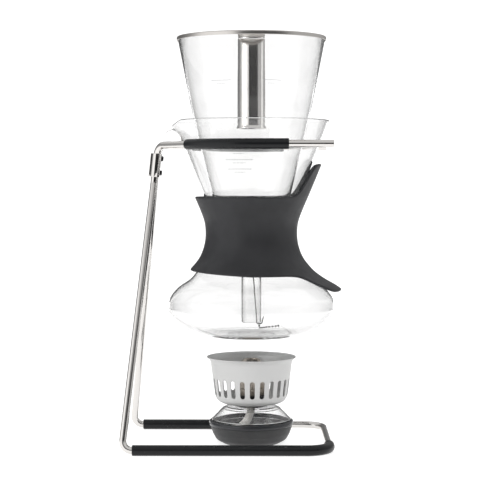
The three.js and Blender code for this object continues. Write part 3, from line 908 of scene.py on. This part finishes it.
def dash(radius, a0, a1, z, tall):
    """A thin raised bar of ink on a wall, between two bearings."""
    corners = []
    for depth in (0.0, 0.06):
        for angle, height in ((a0, z), (a1, z), (a1, z + tall), (a0, z + tall)):
            r = radius + depth
            corners.append(vec(r * math.cos(angle), r * math.sin(angle), height))
    sides = [[0, 1, 5, 4], [1, 2, 6, 5], [2, 3, 7, 6], [3, 0, 4, 7]]
    return corners, [[3, 2, 1, 0], [4, 5, 6, 7], *sides]


# --- Lid -----------------------------------------------------------------------------------------

def make_lid():
    skirt_z, plate_z, skirt = 450.6, BOWL_TOP_Z + 0.7, LID_RADIUS - 0.8
    disc = [
        (0, plate_z), (skirt, plate_z, 0.3), (skirt, skirt_z, 0.25), (LID_RADIUS, skirt_z, 0.4),
        (LID_RADIUS, LID_TOP_Z, 1.1), (80.8, LID_TOP_Z, 0.5), (79.8, LID_TOP_Z - 0.55, 0.5),
        (0, LID_TOP_Z - 0.45),
    ]
    add_turned("lid_disc_fine", rounded(disc), 192, "lid_steel", "lid", ["lid_disc"])
    seam_z = 446.6
    boss = [
        (0, seam_z), (15.3, seam_z, 0.4), (15.0, seam_z + 4, 3.5), (13.4, plate_z - GAP),
        (0, plate_z - GAP),
    ]
    add_turned("lid_boss_fine", rounded(boss), 96, "turned_steel", "lid", ["lid_boss"])
    tube_top, wall, flare, flare_z = seam_z - GAP, 1.0, 1.4, TUBE_END_Z + 3.5
    tube = [
        (0, tube_top - wall), (TUBE_RADIUS - wall, tube_top - wall, 0.5),
        (TUBE_RADIUS - wall, flare_z, 4), (TUBE_RADIUS + flare - wall, TUBE_END_Z, 0.4),
        (TUBE_RADIUS + flare, TUBE_END_Z, 0.4), (TUBE_RADIUS, flare_z, 4),
        (TUBE_RADIUS, tube_top, 0.4), (0, tube_top),
    ]
    add_turned("lid_tube_fine", rounded(tube), 96, "turned_steel", "lid", ["lid_tube"])


# --- Lamp ----------------------------------------------------------------------------------------

def make_lamp():
    body = [
        (0, 0.3), (28.5, 0.3, 0.5), (29.2, 0, 0.3), (31.8, 0.1, 1), (39.4, 4.2, 8), (43.2, 11, 12),
        (46.3, 20.0, 0.3), (45, 20.4), (43.4, 18.2, 4), (40.8, 11.6, 10), (37, 6.4, 6),
        (32.3, 3.6, 5), (0, 3.4),
    ]
    add_turned("lamp_base_body", rounded(body), ROUND, "dark_base", "lamp", ["lamp_base"])
    lip = [
        (44.1, 20.7, 0.2), (47.1, 20.3, 0.5), (47.6, 22.8, 2), (47, 25.3, 0.9), (45.1, 25.7, 0.4),
        (44.4, 24.4, 0.5),
    ]
    add_turned("lamp_base_lip", rounded(lip, closed=True), ROUND, "lip_gloss", "lamp", ["lamp_base"])

    reservoir = [
        (0, 4.1), (32, 4.1, 5), (36.5, 6.9, 6), (40.3, 12, 8), (43.8, 24.6, 1.5), (45.2, 26.8, 2.2),
        (32.6, 39.4, 5), (28.2, 41.2, 3), (15.4, 41.2, 2), (13.6, 43.2, 1.2), (13.6, 50.0),
    ]
    outline = glass_wall(rounded(reservoir, steps=7), RESERVOIR_WALL)
    add_turned("lamp_glass_fine", outline, ROUND, "clear_glass", "lamp", ["lamp_glass"], sharp=180)

    hole = WICK_RADIUS + 0.5
    collar = [
        (16.2, 41.7), (18.6, 41.7, 0.5), (18.6, LEDGE_Z, 0.4), (16, LEDGE_Z, 0.2), (16, 53.6, 0.5),
        (hole, 53.6, 0.3), (hole, 51), (14, 51), (14, 43.2),
    ]
    add_turned("lamp_collar_fine", rounded(collar, closed=True), 96, "dark_collar", "lamp",
               ["lamp_collar"])
    burner = [
        (hole, 54), (15, 54, 0.4), (15, 60, 0.2), (14.5, 60.6, 0.2), (14.5, 61.6, 0.2), (15, 62.2, 0.2),
        (15, 80, 9), (11.6, 91.4, 3), (8.6, 94.4, 0.8), (7.4, 94.4, 0.4), (7.2, 92.8, 0.3), (hole, 92.8),
    ]
    add_turned("wick_holder_fine", rounded(burner, closed=True), 96, "burner_steel", "lamp",
               ["wick_holder"])
    make_windshield(LEDGE_Z + GAP)


def make_windshield(floor_z):
    """Spun cup with a flared lip; its upright slots are punched through the wall."""
    outer = rounded([
        (16.5, floor_z), (30, floor_z, 12), (36.8, 46.9, 10), (40.8, 52.4, 16), (43.7, 75, 120),
        (45.8, 91.6, 3), (47.5, 94.4, 2), (50, 96.3),
    ], steps=6)
    outline = glass_wall(outer, 1.0, open_below=True)
    shield = mesh_of("windshield_fine", turned(outline, 144))

    low, high, half = 54.0, 73.7, 2.7
    first_bearing, cut_from, cut_to = -88.5, 30, 52
    rim = [(half * math.cos(a), high - half + half * math.sin(a)) for a in steps_of(0, math.pi, 10)]
    rim += [(half * math.cos(a), low + half + half * math.sin(a))
            for a in steps_of(math.pi, 2 * math.pi, 10)]
    cutters = []
    for k in range(SLOTS):
        turn = Matrix.Rotation(math.radians(first_bearing + 360 / SLOTS * k), 4, "Z")
        ring_in = [turn @ vec(cut_from, y, z) for y, z in rim]
        ring_out = [turn @ vec(cut_to, y, z) for y, z in rim]
        count = len(rim)
        faces = [list(range(count - 1, -1, -1)), list(range(count, 2 * count))]
        faces += between(list(range(count)), list(range(count, 2 * count)))
        cutters.append((ring_in + ring_out, faces))
    cutter = bpy.data.objects.new("slot_cutter", mesh_of("slot_cutter", joined(*cutters)))
    blank = bpy.data.objects.new("windshield_blank", shield)
    for thing in (cutter, blank):
        bpy.context.scene.collection.objects.link(thing)
    cut = blank.modifiers.new("slots", "BOOLEAN")
    cut.operation, cut.object, cut.solver = "DIFFERENCE", cutter, "EXACT"
    graph = bpy.context.evaluated_depsgraph_get()
    mesh = bpy.data.meshes.new_from_object(blank.evaluated_get(graph))
    for thing in (cutter, blank):
        bpy.data.objects.remove(thing)
    add_piece("windshield_fine", mesh, "satin_aluminium", "windshield", ["windshield"], sharp=35)


# --- Studio --------------------------------------------------------------------------------------

def make_floor():
    radius, sides = 1.25, 96
    rim = [(radius * math.cos(a), radius * math.sin(a), 0) for a in steps_of(0, 2 * math.pi, sides)[:-1]]
    mesh = bpy.data.meshes.new("floor")
    mesh.from_pydata(rim, [], [list(range(sides))])
    floor = bpy.data.objects.new("floor", mesh)
    bpy.context.scene.collection.objects.link(floor)
    material = bpy.data.materials.new("pale_floor")
    material.use_nodes = True
    shader = material.node_tree.nodes["Principled BSDF"]
    shader.inputs["Base Color"].default_value = (0.5, 0.5, 0.5, 1)
    shader.inputs["Roughness"].default_value = 0.9
    shader.inputs["Specular IOR Level"].default_value = 0.0
    shader.inputs["Emission Color"].default_value = (1, 1, 1, 1)
    shader.inputs["Emission Strength"].default_value = 0.74
    mesh.materials.append(material)


# Levels of the studio by bearing in degrees, 0 towards the camera and positive to the right.
MIRRORED = [
    (-180, 0.16), (-130, 0.14), (-112, 0.30), (-98, 0.50), (-84, 1.25), (-28, 1.35), (-20, 0.10),
    (-14, 0.02), (44, 0.02), (54, 0.12), (60, 0.58), (126, 0.58), (150, 0.36), (180, 0.20),
]
# Levels seen through the glasses by the sine of the elevation.
THROUGH = [(-1.0, 1.04), (-0.06, 1.03), (-0.02, 1.06), (0.0, 1.12), (0.042, 1.10), (0.055, 0.99),
           (0.065, 0.92), (0.075, 0.87), (0.085, 0.83), (0.12, 0.80), (1.0, 0.80)]
# Levels of the backdrop to the camera, behind and below in a mirror, high up in one, and to matt pieces.
BACKDROP_LEVEL, MIRRORED_BACK_LEVEL, CEILING_LEVEL, MATT_LEVEL = 1.3, 1.6, 0.75, 1.0


def make_world():
    """White behind the brewer, greyer high up through its glasses, and a graded studio in its mirrors."""
    world = bpy.data.worlds.new("studio")
    bpy.context.scene.world = world
    world.use_nodes = True
    nodes, links = world.node_tree.nodes, world.node_tree.links
    nodes.clear()
    output = nodes.new("ShaderNodeOutputWorld")
    apart = nodes.new("ShaderNodeSeparateXYZ")
    links.new(nodes.new("ShaderNodeTexCoord").outputs["Generated"], apart.inputs[0])

    def fill(sockets, values):
        """Gives each socket its number, or links it to the output that is given for it."""
        for socket, value in zip(sockets, values):
            if isinstance(value, float):
                socket.default_value = value
            else:
                links.new(value, socket)

    def maths(operation, first, second):
        node = nodes.new("ShaderNodeMath")
        node.operation = operation
        fill(node.inputs, (first, second))
        return node.outputs[0]

    def graded(value, stops):
        """A level that runs through the stops, given as (value, level)."""
        low, high = stops[0][0], stops[-1][0]
        brightest = max(level for _, level in stops)
        span = nodes.new("ShaderNodeMapRange")
        span.inputs["From Min"].default_value, span.inputs["From Max"].default_value = low, high
        links.new(value, span.inputs["Value"])
        ramp = nodes.new("ShaderNodeValToRGB")
        elements = ramp.color_ramp.elements
        while len(elements) < len(stops):
            elements.new(1.0)
        for element, (at, level) in zip(elements, stops):
            element.position = (at - low) / (high - low)
            element.color = (level / brightest,) * 3 + (1,)
        links.new(span.outputs[0], ramp.inputs[0])
        return maths("MULTIPLY", ramp.outputs[0], brightest)

    def choose(switch, when_off, when_on):
        node = nodes.new("ShaderNodeMix")
        fill((node.inputs[0], node.inputs[2], node.inputs[3]), (switch, when_off, when_on))
        return node.outputs[0]

    bearing = maths("ARCTAN2", apart.outputs["X"], maths("MULTIPLY", apart.outputs["Y"], -1.0))
    studio = graded(bearing, [(math.radians(at), level) for at, level in MIRRORED])
    high_up = graded(apart.outputs["Z"], [(-1.0, 0.0), (0.32, 0.0), (0.52, 1.0), (1.0, 1.0)])
    behind = graded(apart.outputs["Y"], [(-1.0, 0.0), (0.85, 0.0), (0.95, 1.0), (1.0, 1.0)])
    below = graded(apart.outputs["Z"], [(-1.0, 1.0), (-0.02, 1.0), (0.02, 0.0), (1.0, 0.0)])
    studio = choose(maths("MULTIPLY", behind, below), studio, MIRRORED_BACK_LEVEL)
    mirrored = choose(high_up, studio, CEILING_LEVEL)
    through = graded(apart.outputs["Z"], THROUGH)

    rays = nodes.new("ShaderNodeLightPath")
    bent = maths("GREATER_THAN", rays.outputs["Transmission Depth"], 0.5)
    bounced = maths("GREATER_THAN", rays.outputs["Glossy Depth"], 0.5)
    scattered = maths("GREATER_THAN", rays.outputs["Diffuse Depth"], 0.5)
    level = choose(bounced, choose(bent, BACKDROP_LEVEL, through), mirrored)
    background = nodes.new("ShaderNodeBackground")
    links.new(choose(scattered, level, MATT_LEVEL), background.inputs["Color"])
    links.new(background.outputs[0], output.inputs["Surface"])


def add_softbox(name, bearing, distance, height, size, level):
    """A soft light at a bearing from the front, in degrees, that faces the brewer's middle."""
    light = bpy.data.lights.new(name, "AREA")
    light.shape = "RECTANGLE"
    light.size, light.size_y = size
    light.energy = level * math.pi * size[0] * size[1]
    lamp = bpy.data.objects.new(name, light)
    angle = math.radians(bearing)
    lamp.location = (distance * math.sin(angle), -distance * math.cos(angle), height)
    aim = Vector((0, 0, 0.25)) - lamp.location
    lamp.rotation_euler = aim.to_track_quat("-Z", "Y").to_euler()
    bpy.context.scene.collection.objects.link(lamp)
    lamp.visible_glossy = False


def make_studio():
    make_floor()
    make_world()
    add_softbox("softbox_left", -60, 1.5, 0.55, (0.8, 1.3), 2.0)
    add_softbox("softbox_right", 100, 1.7, 0.6, (0.5, 1.2), 0.8)
    add_softbox("softbox_top", 0, 0.4, 2.0, (1.2, 1.2), 1.2)
    bpy.context.scene.view_settings.view_transform = "Standard"


make_stand()
make_decanter()
make_funnel()
make_lid()
make_lamp()
make_studio()
